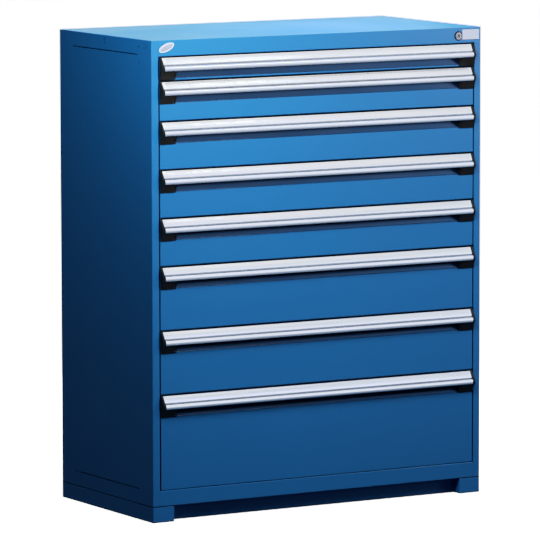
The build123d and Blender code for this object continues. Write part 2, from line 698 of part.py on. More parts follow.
def save(name, shape):
    """Write one node's solids."""
    shapes = shape if isinstance(shape, list) else [shape]
    solids = [solid for part in shapes for solid in part.solids()]
    export_step(Compound(children=solids), f"parts/{name}.step")


def both_sides(shapes):
    """Right-hand pieces with their left-hand copies."""
    return shapes + [left_of(shape) for shape in shapes]


def main():
    os.makedirs("parts", exist_ok=True)
    save("right_side_panel", side_panel())
    save("left_side_panel", left_of(side_panel()))
    save("top_panel", top_panel())
    save("bottom_panel", bottom_panel())
    save("back_panel", back_panel())
    save("base_right_rail", base_side())
    save("base_left_rail", left_of(base_side()))
    save("base_front_panel", base_front_panel())
    save("base_rear_panel", base_rear_panel())
    save("right_uprights", uprights())
    save("left_uprights", [left_of(upright) for upright in uprights()])
    save("right_fixed_rails", fixed_rails())
    save("left_fixed_rails", [left_of(rail) for rail in fixed_rails()])
    save("lock_body", lock_body())
    save("lock_plug", lock_plug())
    save("lock_cam", lock_cam())
    save("lock_bar", lock_bar())
    save("lock_bar_guides", bar_guides())
    for n, (pitch_floor, pitch) in enumerate(zip(PITCH_FLOORS, DRAWER_PITCHES), start=1):
        save(f"drawer_{n}_box", drawer_box(pitch_floor, pitch))
        save(f"drawer_{n}_front", drawer_front(pitch_floor, pitch))
        save(f"drawer_{n}_pull", drawer_pull(pitch_floor, pitch))
        save(f"drawer_{n}_pull_ends", both_sides([pull_end(pitch_floor, pitch)]))
        save(f"carriage_{n}", both_sides(carriage(pitch_floor)))


main()
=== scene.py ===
import json
import math

import bmesh
import bpy
from mathutils import Matrix, Vector


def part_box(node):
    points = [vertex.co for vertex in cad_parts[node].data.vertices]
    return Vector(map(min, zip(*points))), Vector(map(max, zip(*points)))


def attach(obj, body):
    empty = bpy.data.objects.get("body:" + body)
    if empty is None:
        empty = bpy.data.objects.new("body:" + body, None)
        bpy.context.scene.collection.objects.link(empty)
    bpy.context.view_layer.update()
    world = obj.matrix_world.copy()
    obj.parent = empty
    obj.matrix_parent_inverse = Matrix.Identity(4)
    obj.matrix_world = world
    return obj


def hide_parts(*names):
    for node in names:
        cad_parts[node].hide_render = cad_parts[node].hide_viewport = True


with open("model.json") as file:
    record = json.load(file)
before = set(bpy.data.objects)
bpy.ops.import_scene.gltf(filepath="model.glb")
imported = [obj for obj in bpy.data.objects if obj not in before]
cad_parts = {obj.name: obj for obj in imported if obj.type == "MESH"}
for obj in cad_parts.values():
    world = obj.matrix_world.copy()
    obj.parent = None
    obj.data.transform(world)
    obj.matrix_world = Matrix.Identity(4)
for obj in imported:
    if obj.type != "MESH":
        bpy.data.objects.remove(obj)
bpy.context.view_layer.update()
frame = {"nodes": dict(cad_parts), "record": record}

scene = bpy.context.scene

# Lengths are in metres, except where a comment says millimetres
MM = 0.001
DRAWERS = range(1, 9)
# Corners of a mesh that lie closer than this are joined
SAME_POINT = 1e-7

# Planes of the cabinet, from its sheets
header_low, header_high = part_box("top_panel")
sill_low, sill_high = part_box("bottom_panel")
FRONT, SIDE, TOP = header_low.y, header_high.x, header_high.z
HEADER_BOTTOM, SILL_TOP, BASE_TOP = header_low.z, sill_high.z, sill_low.z
POST_EDGE = sill_high.x

# The photograph's camera: its lens in millimetres, its angles in degrees, and where it stands
LENS, SENSOR_WIDTH = 340.8, 36.0
AZIMUTH, ELEVATION, ROLL = -30.286, 6.741, -0.093
EYE = (-8.31437, -14.21760, 2.68470)

# Brightness of the background, of what surfaces mirror beside the lights, and of the air
BACKGROUND, MIRRORED, AMBIENT = 2.0, 0.2, 0.008
WHITE = (1.0, 1.0, 1.0)

# Paint: radius of its rolled edges, how deep its gaps get painted shade and its plugs are marked, and how
# high the painted contact shadow at its foot reaches
ROLLED_RADIUS = 0.0013
GAP_SHADE_DEPTH, PLUG_DEPTH, CONTACT_SHADOW_HEIGHT = (0.012, 0.016), (0.0003, 0.0008), (0.0015, 0.005)
# Flush plugs in the sides: behind the front, below the top, and radius, in millimetres
SIDE_PLUGS = (
    (307, 12, 4.4), (307, 24, 4.4), (80, 22.7, 4.6), (45, 14, 4.0), (45, 25, 4.0), (29, 19.5, 4.0),
    (80, 73.7, 4.4),
)
# The share of a plug's radius that is marked in full
PLUG_CORE = 0.6

# The pull's section in millimetres, as reach forward and drop from its top
SEAL_DROP = 3.2
SLOPE_FOOT = (14.0, 23.0)
SEAL_REACH = SLOPE_FOOT[0] * SEAL_DROP / SLOPE_FOOT[1]
GROOVE = [(13.75, 22.6), (13.95, 23.1), (12.6, 23.9), (12.5, 25.9), (14.2, 26.4)]
LIP_TOP, NOSE, LIP_TIP = (15.0, 26.8), (23.0, 36.0), (20.8, 43.5)
LIP_ROUND, TIP_ROUND, THROAT_ROUND = 2.1, 0.6, 1.4
LIP_FOOT = [(20.9, 43.2), (20.5, 43.5), (18.9, 43.5), (18.6, 43.2)]
THROAT_LOW, THROAT_HIGH = (18.6, 36.0), (14.0, 30.4)
LEG_FRONT, CAVITY_TOP, LEG_FOOT = 2.2, 8.8, 67.0

# What the black ends cover of the metal at its top, and how much more at the slope's foot, in millimetres
END_COVER = {-1: (0.3, 0.9), 1: (3.6, 1.4)}
# The seal's front corner: how far it lies back and up from the metal, and back at its foot, in millimetres
SEAL_BACK, SEAL_UP, SEAL_FOOT_BACK = 0.1, 0.2, 0.3

# Label film, in millimetres: from and to down the slope, thickness, bare ends, and the outline of its edge
FILM_FROM, FILM_TO, FILM_THICKNESS, FILM_INSET = 5.4, 24.6, 0.12, 11.5
FILM_EDGE = ((0.0, 0.0), (0.05, 0.5), (0.3, 1.0))

# Facing of the back leg, and the black blocks beside it with their flanks, in millimetres
FACING_TOP, FACING_FOOT, FACING_THICKNESS = 10.0, 66.9, 0.25
FACING_TOP_BEVEL, FACING_FOOT_BEVEL = 0.2, 0.3
BLOCK_WIDTH, FLANK_THICKNESS = 50.4, 4.0
FLANK = [(0.0, 44.1), (14.7, 44.1), (1.4, 71.9), (0.0, 71.9)]

# Badge: its place, its tilt, and the rings of its rim and its field as half sizes and how far they stand out
BADGE_FROM_SIDE, BADGE_BELOW_TOP, BADGE_TILT = 0.0540, 0.0236, math.radians(22)
RIM_RINGS = (
    (0.0284, 0.0123, 0.0), (0.0282, 0.0121, 0.0014), (0.0273, 0.0112, 0.0020),
    (0.0248, 0.0088, 0.0020), (0.0241, 0.0081, 0.0013),
)
FIELD_RINGS = (
    (0.0241, 0.0081, 0.0012), (0.0236, 0.0077, 0.0015), (0.016, 0.005, 0.0019), (0.006, 0.0019, 0.0021),
)

# Blank plate and its black backing, which shows below the plate as a painted shadow line: from the side,
# below the top, width, height, and how far each stands out
BACKING_PLACE, BACKING_PROUD = (0.0083, 0.0090, 0.0621, 0.0321), 0.0003
PLATE_PLACE, PLATE_PROUD = (0.0078, 0.0075, 0.0631, 0.0323), 0.0010
PLATE_CORNER = 0.0015

# Lock: the collar's outline, outward from the lock's edge and proud of the front, and the keyway's shutter;
# the black of both is partly painted shadow round the lock and painted shade in the keyhole
COLLAR = ((0.0001, 0.0), (0.0001, 0.0028), (0.0010, 0.0029), (0.0026, 0.0022), (0.0034, 0.0))
SHUTTER_HALF_WIDTH, SHUTTER_HALF_HEIGHT, SHUTTER_CORNER = 0.0022, 0.0051, 0.0021
SHUTTER_SUNK, SHUTTER_PROUD = 0.0002, 0.0003

# Thin plates: levels through their thickness, and how far each lies in from the edge, as shares of it
PLATE_LEVELS = ((0.0, 0.0), (0.75, 0.0), (1.0, 0.25))

# Ground welds beside the posts: their back and face behind the front, and their gaps to opening and edge
WELD_HALF_WIDTH, WELD_BACK, WELD_FACE, WELD_CORNER = 0.0023, 0.0018, 0.00002, 0.0001
WELD_FROM_OPENING, WELD_FROM_EDGE = 0.0006, 0.0022

# Bead in the groove of the seam above the base: half height, and where it starts and ends below the surface
BEAD_HALF_HEIGHT, BEAD_INSET, BEAD_DEPTH = 0.0014, 0.0006, 0.0020

# Carriages: gap to the fixed rail, thickness and corners, and a roller's place from an end or the middle
SLIDE_GAP, CARRIAGE_THICKNESS, CARRIAGE_CORNER, ROLLER_STEP = 0.0020, 0.0020, 0.008, 0.0147
# Outlines of a roller and of the rivet head behind it, as distance from the plate and radius
ROLLER = (
    (0.0, 0.0120), (0.001, 0.0132), (0.0172, 0.0132), (0.0187, 0.0117), (0.0187, 0.0085),
    (0.0175, 0.0080), (0.0175, 0.0042), (0.0183, 0.0038), (0.0186, 0.0030),
)
RIVET = ((-0.0001, 0.0042), (0.0006, 0.0040), (0.0011, 0.0030), (0.0013, 0.0012))
RIVET_SIDES = 20

# Studio lights: name, place, target, size, radiance and colour
MIDDLE = (0.0, FRONT, 1.2)
CABINET_LIGHTS = (
    ("above", (0.1, 0.0, 2.6), (0.1, 0.0, 1.5), (1.2, 0.5), 28.0, WHITE),
    ("above_right", (1.0, 0.0, 2.8), (1.0, 0.0, 1.5), (0.8, 0.5), 17.5, WHITE),
    ("front_left", (-0.6, -1.2, 1.9), MIDDLE, (0.8, 0.6), 20.8, WHITE),
    ("front_centre", (1.2, -1.2, 1.9), MIDDLE, (0.8, 0.6), 7.7, WHITE),
    ("front_right", (2.0, -1.6, 1.7), MIDDLE, (0.8, 0.6), 8.5, WHITE),
    ("front_high", (0.0, -2.4, 2.8), MIDDLE, (0.8, 0.6), 1.7, WHITE),
    ("front_low_left", (-1.2, -1.2, 1.7), MIDDLE, (0.8, 0.6), 0.95, WHITE),
    ("far_right", (3.8, -2.3, 1.0), (0.0, FRONT, 0.9), (1.0, 1.0), 2.8, WHITE),
    ("left_high", (-1.12, -0.36, 1.86), (-0.6, -0.1, 1.6), (0.6, 0.6), 2.6, (0.3, 1.0, 1.08)),
    ("behind", (3.15, 6.0, 2.5), (0.0, 0.0, 1.5), (2.2, 1.6), 1.55, (0.72, 1.0, 0.88)),
    ("back_fill", (0.95, 2.8, 0.9), (0.3, 0.0, 0.72), (2.4, 1.4), 5.0, WHITE),
    ("right_fill", (3.0, 0.6, 0.72), (0.6, 0.2, 0.72), (1.6, 1.3), 4.0, WHITE),
)
# Lights that surfaces don't mirror
MATT_LIGHTS = ("above", "front_left", "front_centre")
LEG_LIGHTS = (
    ("leg_right", (4.6, -1.5, 1.72), MIDDLE, (0.8, 0.6), 600.0, WHITE),
    ("leg_left", (-1.2, -1.3, 1.85), MIDDLE, (0.8, 0.6), 9.0, WHITE),
)
PULL_LIGHTS = (
    ("pull_sky", (6.0, -4.0, 10.0), MIDDLE, (16.0, 16.0), 1.27, (0.57, 0.65, 0.92)),
    ("pull_front", (3.3, -6.0, 3.2), (3.3, 0.0, 3.2), (9.0, 6.4), 1.57, (0.79, 0.87, 0.95)),
    ("pull_near_floor", (1.0, -0.95, 0.02), (1.0, -0.95, 1.0), (4.0, 0.7), 0.3, (0.74, 0.79, 0.95)),
    ("pull_mid_floor", (1.4, -1.8, 0.02), (1.4, -1.8, 1.0), (4.6, 1.0), 0.5, (0.70, 0.78, 0.98)),
    ("pull_far_floor", (2.3, -4.1, 0.02), (2.3, -4.1, 1.0), (7.0, 3.6), 1.3, (0.63, 0.72, 1.0)),
    ("pull_upper_left", (0.15, -1.0, 2.5), (-0.5, FRONT, 1.4), (0.6, 0.7), 1.45, (1.0, 0.90, 0.6)),
    ("pull_lower_left", (0.15, -1.0, 1.9), (-0.5, FRONT, 0.9), (0.6, 0.5), 0.45, (1.0, 0.90, 0.6)),
    ("pull_middle", (0.75, -1.0, 2.4), (0.0, FRONT, 1.3), (0.6, 0.8), 0.95, (1.0, 0.92, 0.6)),
    ("pull_right", (1.35, -1.0, 2.2), (0.6, FRONT, 1.2), (0.6, 1.1), 0.6, (1.0, 0.92, 0.6)),
    ("pull_left_sky", (-7.5, -4.0, 9.5), MIDDLE, (11.0, 11.0), 1.27, (0.57, 0.65, 0.92)),
    ("pull_left_front", (-5.2, -6.0, 3.2), (-5.2, 0.0, 3.2), (6.6, 6.4), 1.57, (0.79, 0.87, 0.95)),
    ("pull_left_floor", (-3.6, -3.2, 0.02), (-3.6, -3.2, 1.0), (4.6, 4.6), 0.9, (0.65, 0.74, 0.99)),
)
# Half the side of the studio floor
FLOOR_HALF = 60

# The display's curve: where bright values start to roll off, how sharply, and where it is sampled
SHOULDER, SHARPNESS = 1.05, 1.5
CURVE_SAMPLES = (0.0, 0.1, 0.25, 0.45, 0.7, 1.0, 1.3, 1.6)


def camera():
    """The photograph's camera: a long lens, a little above the top, looking from the front left."""
    data = bpy.data.cameras.new("camera")
    data.lens = LENS
    data.sensor_width = SENSOR_WIDTH
    data.clip_start, data.clip_end = 0.5, 300.0
    eye = bpy.data.objects.new("camera", data)
    scene.collection.objects.link(eye)
    azimuth, elevation, roll = math.radians(AZIMUTH), math.radians(ELEVATION), math.radians(ROLL)
    ahead = Vector((
        -math.sin(azimuth) * math.cos(elevation),
        math.cos(azimuth) * math.cos(elevation),
        -math.sin(elevation),
    ))
    right = ahead.cross(Vector((0, 0, 1))).normalized()
    up = right.cross(ahead)
    turned_right = math.cos(roll) * right + math.sin(roll) * up
    turned_up = math.cos(roll) * up - math.sin(roll) * right
    turn = Matrix((turned_right, turned_up, -ahead)).transposed().to_4x4()
    eye.matrix_world = Matrix.Translation(EYE) @ turn
    scene.camera = eye


def material(name, color, metallic=0.0, roughness=0.5, specular=0.5):
    """A named material, its tree to add to, and its Principled shader with plain values."""
    made = bpy.data.materials.new(name)
    made.use_nodes = True
    tree = made.node_tree
    shader = tree.nodes["Principled BSDF"]
    shader.inputs["Base Color"].default_value = (*color, 1)
    shader.inputs["Metallic"].default_value = metallic
    shader.inputs["Roughness"].default_value = roughness
    shader.inputs["Specular IOR Level"].default_value = specular
    return made, tree, shader


def add(tree, kind, **values):
    """A node with its settings and its unlinked inputs."""
    node = tree.nodes.new(kind)
    for key, value in values.items():
        if key in node.inputs:
            node.inputs[key].default_value = value
        else:
            setattr(node, key, value)
    return node


def calculate(tree, operation, *values):
    """The result of a math operation on values, each a float or another node's output."""
    found = add(tree, "ShaderNodeMath", operation=operation)
    for socket, value in zip(found.inputs, values):
        if isinstance(value, float):
            socket.default_value = value
        else:
            tree.links.new(value, socket)
    return found.outputs[0]


def coordinates(tree):
    """The object's own coordinates, in metres, as outputs X, Y and Z."""
    place = add(tree, "ShaderNodeTexCoord")
    parts = add(tree, "ShaderNodeSeparateXYZ")
    tree.links.new(place.outputs["Object"], parts.inputs[0])
    return parts.outputs


def noise(tree, scale, detail=3.0, stretch=(1, 1, 1)):
    """Noise over the object's own coordinates, in metres, stretched along chosen axes."""
    place = add(tree, "ShaderNodeTexCoord")
    mapping = add(tree, "ShaderNodeMapping")
    mapping.inputs["Scale"].default_value = stretch
    found = add(tree, "ShaderNodeTexNoise", Scale=scale, Detail=detail, Roughness=0.5)
    tree.links.new(place.outputs["Object"], mapping.inputs["Vector"])
    tree.links.new(mapping.outputs["Vector"], found.inputs["Vector"])
    return found.outputs["Fac"]


def ramp(tree, value, low, high, to_low=0.0, to_high=1.0):
    """A value mapped smoothly from one range to another."""
    found = add(tree, "ShaderNodeMapRange", interpolation_type="SMOOTHSTEP")
    found.inputs["From Min"].default_value = low
    found.inputs["From Max"].default_value = high
    found.inputs["To Min"].default_value = to_low
    found.inputs["To Max"].default_value = to_high
    tree.links.new(value, found.inputs["Value"])
    return found.outputs["Result"]


def blend(tree, factor, first, second):
    """A colour between two, by a factor."""
    found = add(tree, "ShaderNodeMix", data_type="RGBA")
    tree.links.new(factor, found.inputs[0])
    # Sockets 6 and 7 take the two colours, and output 2 gives the mixed one
    for socket, color in ((found.inputs[6], first), (found.inputs[7], second)):
        if isinstance(color, tuple):
            socket.default_value = (*color, 1)
        else:
            tree.links.new(color, socket)
    return found.outputs[2]


def painted_shade_mask(tree, reach, low, high):
    """A mask for painted shade: 1 in the open, falling to 0 in gaps, from how much is near within a reach.
    """
    gap = add(tree, "ShaderNodeAmbientOcclusion", samples=8, Distance=reach)
    return ramp(tree, gap.outputs["AO"], low, high)


def surface(tree, shader, tone, gloss, relief, normal=None):
    """Links a material's colour, roughness and relief, which has rows of height, distance and strength."""
    tree.links.new(tone, shader.inputs["Base Color"])
    tree.links.new(gloss, shader.inputs["Roughness"])
    for height, distance, strength in relief:
        bump = add(tree, "ShaderNodeBump", Distance=distance, Strength=strength)
        tree.links.new(height, bump.inputs["Height"])
        if normal:
            tree.links.new(normal, bump.inputs["Normal"])
        normal = bump.outputs["Normal"]
    tree.links.new(normal, shader.inputs["Normal"])


def depth_inside(tree, at):
    """How far a point lies behind the front or inside a side of the closed cabinet."""
    behind = calculate(tree, "SUBTRACT", at["Y"], FRONT)
    within = calculate(tree, "SUBTRACT", SIDE, calculate(tree, "ABSOLUTE", at["X"]))
    return calculate(tree, "MINIMUM", behind, within)


def plug_marks(tree, at, inside):
    """A value that is 1 on clear paint and falls to 0 at the small flush plugs of the sides."""
    flat = add(tree, "ShaderNodeCombineXYZ")
    tree.links.new(at["Y"], flat.inputs["Y"])
    tree.links.new(at["Z"], flat.inputs["Z"])
    clear = 1.0
    for back, down, radius in SIDE_PLUGS:
        away = add(tree, "ShaderNodeVectorMath", operation="DISTANCE")
        away.inputs[1].default_value = (0, FRONT + back * MM, TOP - down * MM)
        tree.links.new(flat.outputs[0], away.inputs[0])
        spot = ramp(tree, away.outputs["Value"], PLUG_CORE * radius * MM, radius * MM)
        clear = calculate(tree, "MINIMUM", spot, clear)
    return calculate(tree, "MAXIMUM", clear, ramp(tree, inside, *PLUG_DEPTH))


def powder_coat():
    """Satin blue powder coat: orange peel, speckle, slow changes of gloss, painted shade in the gaps, a
    painted contact shadow at the foot, and rolled edges.
    """
    base, deep, speckle = (0.014, 0.152, 0.465), (0.013, 0.146, 0.450), (0.018, 0.170, 0.500)
    # The first two colours are painted shade: a contact shadow at the foot and shade in the gaps
    foot, painted_gap_shade, on_plug = (0.001, 0.003, 0.008), (0.001, 0.006, 0.02), (0.001, 0.03, 0.12)
    made, tree, shader = material("blue_powder_coat", base, roughness=0.36)
    at = coordinates(tree)
    inside = depth_inside(tree, at)
    slow = noise(tree, 3.0, 2.0)
    speck = noise(tree, 900.0, 2.0)
    # Painted shade: gaps are darkened from ambient occlusion, near the outside only, so that an open drawer
    # stays blue
    free_of_gap_shade = painted_shade_mask(tree, 0.02, 0.48, 0.85)
    free_of_gap_shade = calculate(tree, "MAXIMUM", free_of_gap_shade, ramp(tree, inside, *GAP_SHADE_DEPTH))
    plugs = plug_marks(tree, at, inside)
    tone = blend(tree, ramp(tree, slow, 0.3, 0.7), base, deep)
    tone = blend(tree, ramp(tree, speck, 0.58, 0.75, 0.0, 0.25), tone, speckle)
    # Painted contact shadow: the paint turns almost black over the lowest few millimetres
    tone = blend(tree, ramp(tree, at["Z"], *CONTACT_SHADOW_HEIGHT), foot, tone)
    # Painted shade in the gaps
    tone = blend(tree, free_of_gap_shade, painted_gap_shade, tone)
    tone = blend(tree, plugs, on_plug, tone)
    # The gloss fades in the gaps too, as part of the painted shade
    tree.links.new(calculate(tree, "MULTIPLY", free_of_gap_shade, 0.5), shader.inputs["Specular IOR Level"])
    wave = noise(tree, 9.0, 1.0)
    peel = noise(tree, 420.0, 2.0)
    relief = ((wave, 0.002, 0.05), (peel, 0.0002, 0.25), (plugs, 0.0006, 0.5))
    rolled = add(tree, "ShaderNodeBevel", samples=6, Radius=ROLLED_RADIUS)
    gloss = ramp(tree, slow, 0.25, 0.75, 0.33, 0.40)
    surface(tree, shader, tone, gloss, relief, rolled.outputs["Normal"])
    return made


def anodised():
    """Clear anodised aluminium with fine extrusion lines along the pull, and painted shade in its groove and
    under its lip.
    """
    made, tree, shader = material("anodised_aluminium", (0.86, 0.875, 0.89), metallic=1.0, roughness=0.24)
    lines = noise(tree, 1500.0, 3.0, stretch=(0.004, 1, 1))
    cloud = noise(tree, 6.0, 3.0)
    tone = blend(tree, ramp(tree, lines, 0.3, 0.7), (0.84, 0.85, 0.865), (0.89, 0.90, 0.91))
    # Painted shade: the metal darkens in its groove and under its lip, from ambient occlusion
    tone = blend(tree, painted_shade_mask(tree, 0.006, 0.5, 0.93), (0.21, 0.21, 0.22), tone)
    surface(tree, shader, tone, ramp(tree, cloud, 0.3, 0.7, 0.21, 0.27), ((lines, 0.0001, 0.3),))
    return made


def zinc():
    """Zinc-plated steel with a faint cloudy spangle."""
    made, tree, shader = material("zinc_plated_steel", (0.60, 0.61, 0.63), metallic=1.0, roughness=0.35)
    cloud = noise(tree, 60.0, 4.0)
    grain = noise(tree, 1200.0, 2.0, stretch=(1, 0.05, 1))
    tone = blend(tree, ramp(tree, cloud, 0.35, 0.65), (0.53, 0.54, 0.57), (0.66, 0.66, 0.67))
    surface(tree, shader, tone, ramp(tree, cloud, 0.3, 0.7, 0.28, 0.44), ((grain, 0.0001, 0.3),))
    return made


def plastic():
    """Black moulded plastic with a fine grain."""
    made, tree, shader = material("black_grained_plastic", (0.008, 0.008, 0.007), specular=0.25)
    grain = noise(tree, 1600.0, 2.0)
    cloud = noise(tree, 40.0, 3.0)
    tone = blend(tree, ramp(tree, cloud, 0.3, 0.7), (0.007, 0.0065, 0.005), (0.011, 0.010, 0.008))
    surface(tree, shader, tone, ramp(tree, cloud, 0.3, 0.7, 0.44, 0.56), ((grain, 0.0002, 0.5),))
    return made


def nickel():
    """Satin nickel with a fine grain, and painted shade in the keyway and round the plug."""
    made, tree, shader = material("satin_nickel", (0.60, 0.60, 0.62), metallic=1.0, roughness=0.28)
    cloud = noise(tree, 300.0, 3.0)
    grain = noise(tree, 2500.0, 1.0)
    tone = blend(tree, ramp(tree, cloud, 0.3, 0.7), (0.56, 0.56, 0.58), (0.64, 0.64, 0.66))
    # Painted shade: the nickel darkens in the keyway, round the plug and in other gaps, from ambient
    # occlusion
    tone = blend(tree, painted_shade_mask(tree, 0.008, 0.5, 0.9), (0.01, 0.01, 0.015), tone)
    surface(tree, shader, tone, ramp(tree, cloud, 0.3, 0.7, 0.22, 0.34), ((grain, 0.00005, 0.3),))
    return made


def rubber():
    """Matt black rubber of the seals, bead, collar, shutter and plate backing, dusty in patches; on these
    pieces its black also stands in for painted shade and shadow.
    """
    made, tree, shader = material("black_rubber", (0.004, 0.004, 0.005), roughness=0.8, specular=0.1)
    dust = noise(tree, 120.0, 4.0)
    grain = noise(tree, 1100.0, 2.0)
    tone = blend(tree, ramp(tree, dust, 0.45, 0.75), (0.003, 0.004, 0.006), (0.006, 0.008, 0.011))
    surface(tree, shader, tone, ramp(tree, dust, 0.3, 0.7, 0.7, 0.9), ((grain, 0.0001, 0.4),))
    return made


def slate():
    """Dark slate-blue lacquer of the pull's back leg, with drawn lines along it; its darkness is partly
    painted shade under the pull's lip.
    """
    made, tree, shader = material("slate_lacquer_and_lip_shade", (0.010, 0.040, 0.110), roughness=0.45, specular=0.06)
    lines = noise(tree, 700.0, 3.0, stretch=(0.01, 1, 1))
    cloud = noise(tree, 8.0, 3.0)
    # Part of this dark tone is painted shade under the pull's lip
    tone = blend(tree, ramp(tree, lines, 0.3, 0.7), (0.009, 0.037, 0.103), (0.011, 0.043, 0.118))
    surface(tree, shader, tone, ramp(tree, cloud, 0.3, 0.7, 0.40, 0.50), ((lines, 0.0001, 0.3),))
    return made


def label_film():
    """Satin film of the blank label strips, with a faint weave of fibres along it."""
    made, tree, shader = material("satin_label_film", (0.80, 0.82, 0.845), metallic=1.0, roughness=0.27)
    fibres = noise(tree, 900.0, 4.0, stretch=(0.02, 1, 1))
    cloud = noise(tree, 14.0, 3.0)
    tone = blend(tree, ramp(tree, fibres, 0.35, 0.65), (0.775, 0.795, 0.82), (0.83, 0.85, 0.87))
    surface(tree, shader, tone, ramp(tree, cloud, 0.3, 0.7, 0.24, 0.31), ((fibres, 0.0001, 0.2),))
    return made


def enamel(name, low, high):
    """Smooth pale enamel with a faint mottle."""
    made, tree, shader = material(name, high, roughness=0.4)
    mottle = noise(tree, 160.0, 3.0)
    tone = blend(tree, ramp(tree, mottle, 0.35, 0.65), low, high)
    surface(tree, shader, tone, ramp(tree, mottle, 0.3, 0.7, 0.34, 0.46), ((mottle, 0.0002, 0.1),))
    return made


def paint_nodes():
    """Each CAD node gets the material of its slot."""
    by_slot = {
        "housing_paint": PAINT, "drawer_paint": PAINT, "zinc_steel": ZINC,
        "pull_aluminium": ALUMINIUM, "black_plastic": PLASTIC, "lock_nickel": NICKEL,
    }
    slots = {row["node"]: row["material_slot"] for row in frame["record"]["subparts"]}
    for name, node in frame["nodes"].items():
        node.data.materials.clear()
        node.data.materials.append(by_slot[slots[name]])


def piece(name, work, made, body, crease=35):
    """A finished mesh as a piece that rides on a body, smooth up to a crease angle in degrees."""
    bmesh.ops.remove_doubles(work, verts=work.verts, dist=SAME_POINT)
    bmesh.ops.recalc_face_normals(work, faces=work.faces)
    mesh = bpy.data.meshes.new(name)
    work.to_mesh(mesh)
    work.free()
    mesh.shade_smooth()
    mesh.set_sharp_from_angle(angle=math.radians(crease))
    mesh.materials.append(made)
    found = bpy.data.objects.new(name, mesh)
    scene.collection.objects.link(found)
    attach(found, body)
    return found


def loft(work, rings, closed=False):
    """A solid through rings of equally many points, capped, or closed from the last ring to the first."""
    made = [[work.verts.new(point) for point in ring] for ring in rings]
    for near, far in zip(made, made[1:] + made[:1] if closed else made[1:]):
        for i, corner in enumerate(near):
            after = (i + 1) % len(near)
            work.faces.new((corner, near[after], far[after], far[i]))
    if not closed:
        caps = [work.faces.new(made[0]), work.faces.new(made[-1])]
        bmesh.ops.triangulate(work, faces=caps)


def rounded_box(work, low, high, radius, axis=1, steps=4):
    """A plate with rounded corners and a small edge bevel, thin along an axis."""
    across = [i for i in range(3) if i != axis]
    rings = []
    for level, inset in PLATE_LEVELS:
        depth = low[axis] + (high[axis] - low[axis]) * level
        shrink = inset * abs(high[axis] - low[axis])
        ring = []
        for corner, (sx, sy) in enumerate(((1, 1), (-1, 1), (-1, -1), (1, -1))):
            cx = (high if sx > 0 else low)[across[0]] - sx * radius
            cy = (high if sy > 0 else low)[across[1]] - sy * radius
            for i in range(steps + 1):
                turn = math.pi / 2 * (corner + i / steps)
                point = [0.0, 0.0, 0.0]
                point[axis] = depth
                point[across[0]] = cx + (radius - shrink) * math.cos(turn)
                point[across[1]] = cy + (radius - shrink) * math.sin(turn)
                ring.append(point)
        rings.append(ring)
    loft(work, rings)


def oval(half_width, half_height, tilt, centre, depth, steps=48):
    """A ring of points on a tilted ellipse in a plane along the front."""
    found = []
    for i in range(steps):
        turn = 2 * math.pi * i / steps
        x, z = half_width * math.cos(turn), half_height * math.sin(turn)
        found.append((
            centre[0] + x * math.cos(tilt) - z * math.sin(tilt), depth,
            centre[1] + x * math.sin(tilt) + z * math.cos(tilt),
        ))
    return found


def turned(work, centre, stations, steps=32):
    """A solid of revolution about an axis across the cabinet, from (x, radius) stations."""
    loft(work, [
        [
            (x, centre[0] + radius * math.cos(turn), centre[1] + radius * math.sin(turn))
            for turn in (2 * math.pi * i / steps for i in range(steps))
        ]
        for x, radius in stations
    ])


def arc(start, end, bulge, steps=10):
    """Points of an arc between two points of a section, which bulges to the left of the way by a height."""
    (x0, y0), (x1, y1) = start, end
    half = math.hypot(x1 - x0, y1 - y0) / 2
    radius = (half * half + bulge * bulge) / (2 * abs(bulge))
    spread = math.asin(half / radius)
    ahead = math.atan2(y1 - y0, x1 - x0)
    side = math.copysign(1, bulge)
    middle = ((x0 + x1) / 2, (y0 + y1) / 2)
    found = []
    for i in range(steps + 1):
        turn = spread * (2 * i / steps - 1)
        along = radius * math.sin(turn)
        off = side * (radius * math.cos(turn) - radius * math.cos(spread))
        found.append((
            middle[0] + along * math.cos(ahead) - off * math.sin(ahead),
            middle[1] + along * math.sin(ahead) + off * math.cos(ahead),
        ))
    return found


def pull_section(first):
    """The pull's section: its first point at the back, then the slope, groove, lip, throat and back leg."""
    lip = arc(LIP_TOP, NOSE, -LIP_ROUND)[1:] + arc(NOSE, LIP_TIP, -TIP_ROUND, steps=6)[1:-1] + LIP_FOOT
    throat = arc(THROAT_LOW, THROAT_HIGH, THROAT_ROUND, steps=6)
    leg = [(LEG_FRONT, CAVITY_TOP), (LEG_FRONT, LEG_FOOT), (0.0, LEG_FOOT)]
    return [first, (SEAL_REACH, SEAL_DROP)] + GROOVE + lip + throat + leg


def metal_end(n, side):
    """Where a pull's metal ends on a side, as a function of the drop: at its black end."""
    at_top, more = END_COVER[side]
    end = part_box(f"drawer_{n}_pull")[1].x
    return lambda drop: side * (end - (at_top + more * min(drop / SLOPE_FOOT[1], 1.0)) * MM)


def run(work, n, section, *ends):
    """A solid of one section along a pull. An end is a place, or a function of the drop that gives it."""
    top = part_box(f"drawer_{n}_pull")[1].z
    loft(work, [
        [
            (end(drop) if callable(end) else end, FRONT - reach * MM, top - drop * MM)
            for reach, drop in section
        ]
        for end in ends
    ])


def pull_extrusion(n):
    """Aluminium pull between its black ends, below the seal."""
    work = bmesh.new()
    run(work, n, pull_section((0.0, SEAL_DROP)), metal_end(n, -1), metal_end(n, 1))
    pull = piece(f"drawer_{n}_pull_extrusion", work, ALUMINIUM, f"drawer_{n}", crease=50)
    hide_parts(f"drawer_{n}_pull")
    return pull


def pull_end_lips(n):
    """Black ends that cap the metal with its own section."""
    work = bmesh.new()
    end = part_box(f"drawer_{n}_pull")[1].x
    for side in (-1, 1):
        run(work, n, pull_section((0.0, 0.0)), side * end, metal_end(n, side))
    piece(f"drawer_{n}_pull_end_lips", work, PLASTIC, f"drawer_{n}", crease=50)


